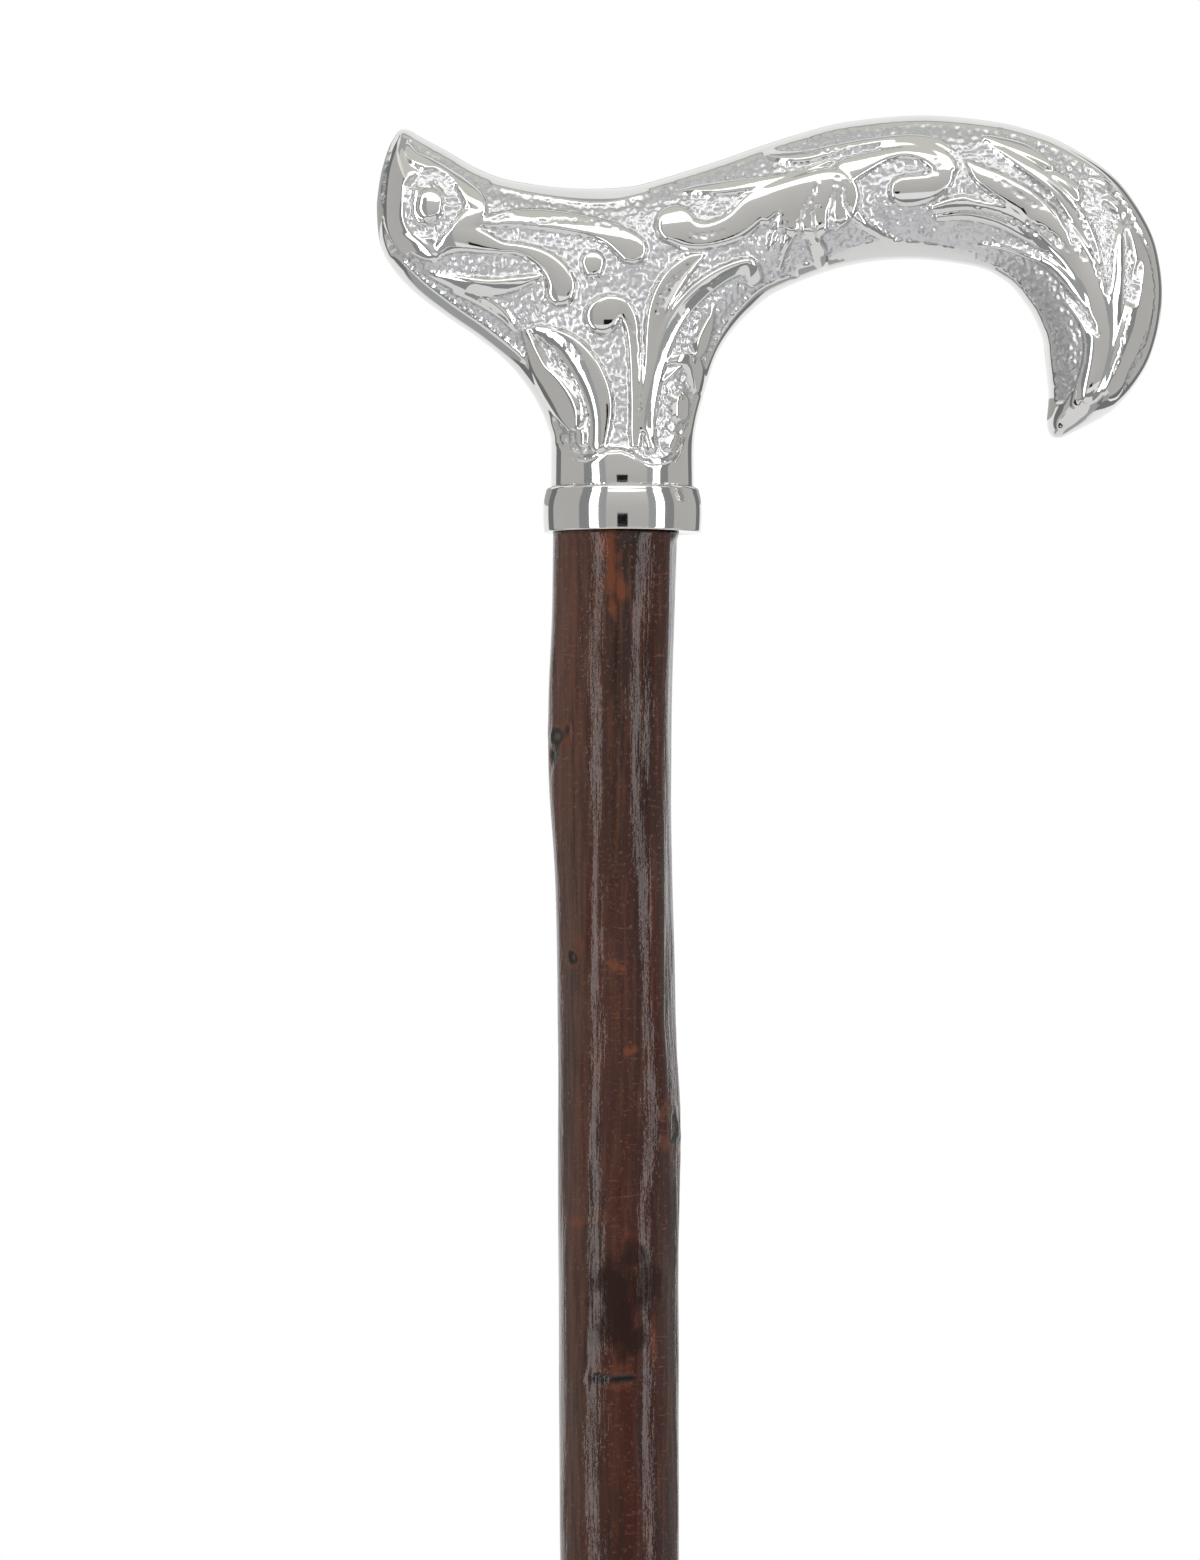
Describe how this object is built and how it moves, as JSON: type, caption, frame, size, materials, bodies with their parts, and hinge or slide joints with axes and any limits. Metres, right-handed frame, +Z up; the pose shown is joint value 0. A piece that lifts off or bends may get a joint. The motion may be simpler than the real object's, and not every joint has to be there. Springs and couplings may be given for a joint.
{
  "type": "walking stick",
  "caption": "Walking stick with a scroll-embossed plated derby handle and collar on a varnished bark-on wooden shaft, with a rubber ferrule for the floor.",
  "frame": {"origin": "middle of the ferrule's sole, on the floor", "axes": "+Z up the shaft, +X towards the tail of the handle, Y across the handle"},
  "size_m": [0.131, 0.034, 0.9195],
  "materials": {
    "plated": "bright plating over cast relief",
    "steel": "turned",
    "bark": "glossy varnish over smoothed bark",
    "rubber": "moulded"
  },
  "bodies": {
    "root": {"handle": "plated", "collar": "plated", "stud": "steel", "shaft": "bark", "ferrule": "rubber", "ferrule_washer": "steel"}
  },
  "joints": []
}
